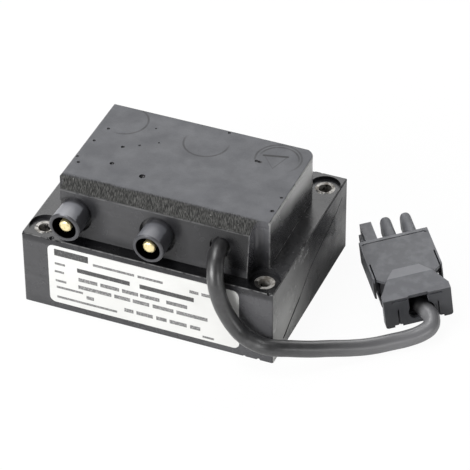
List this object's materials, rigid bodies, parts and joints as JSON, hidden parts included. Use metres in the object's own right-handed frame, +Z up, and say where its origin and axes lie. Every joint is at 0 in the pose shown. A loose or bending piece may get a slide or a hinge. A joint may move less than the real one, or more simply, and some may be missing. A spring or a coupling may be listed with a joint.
{
  "type": "ignition transformer",
  "caption": "Potted ignition transformer: stepped resin block with two high-voltage towers, corner screw sleeves, short mains cable and three-finger plug",
  "frame": {"origin": "middle of the underside of the cast block", "axes": "+Z up, +Y from the towers to the back of the block, +X to the right seen from the towers' side"},
  "size_m": [0.1605, 0.1003, 0.055],
  "materials": {
    "resin": "satin, air bubbles on top",
    "zinc_steel": "zinc plated, dull",
    "tower_plastic": "satin moulded",
    "pin_brass": "bright turned",
    "hv_lead_silicone": "matt",
    "bobbin_nylon": "moulded",
    "copper_wire": "enamelled",
    "core_steel": "laminated",
    "shunt_steel": "laminated",
    "brown_pvc": "extruded",
    "blue_pvc": "extruded",
    "green_pvc": "extruded",
    "label_foil": "matt silver foil",
    "cable_pvc": "extruded, satin",
    "plug_plastic": "fine moulded grain",
    "carrier_plastic": "fine moulded grain",
    "contact_brass": "stamped and plated",
    "screw_steel": "zinc plated",
    "conductor_pvc": "extruded"
  },
  "bodies": {
    "root": {"cast_body": "resin", "mounting_sleeves": "zinc_steel", "hv_tower_left": "tower_plastic", "hv_tower_right": "tower_plastic", "hv_pin_left": "pin_brass", "hv_pin_right": "pin_brass", "hv_lead_left": "hv_lead_silicone", "hv_lead_right": "hv_lead_silicone", "secondary_bobbin_left": "bobbin_nylon", "secondary_bobbin_right": "bobbin_nylon", "secondary_winding_left": "copper_wire", "secondary_winding_right": "copper_wire", "primary_bobbin": "bobbin_nylon", "primary_winding": "copper_wire", "core_u_stack": "core_steel", "core_yoke_stack": "core_steel", "magnetic_shunt": "shunt_steel", "live_lead": "brown_pvc", "neutral_lead": "blue_pvc", "earth_lead": "green_pvc", "rating_label": "label_foil", "mains_cable": "cable_pvc", "plug_housing": "plug_plastic", "plug_contact_carrier": "carrier_plastic", "plug_contact_live": "contact_brass", "plug_contact_earth": "contact_brass", "plug_contact_neutral": "contact_brass", "plug_terminal_screws": "screw_steel", "plug_conductors": "conductor_pvc", "plug_cable_clamp": "plug_plastic", "plug_clamp_screws": "screw_steel"}
  },
  "joints": []
}
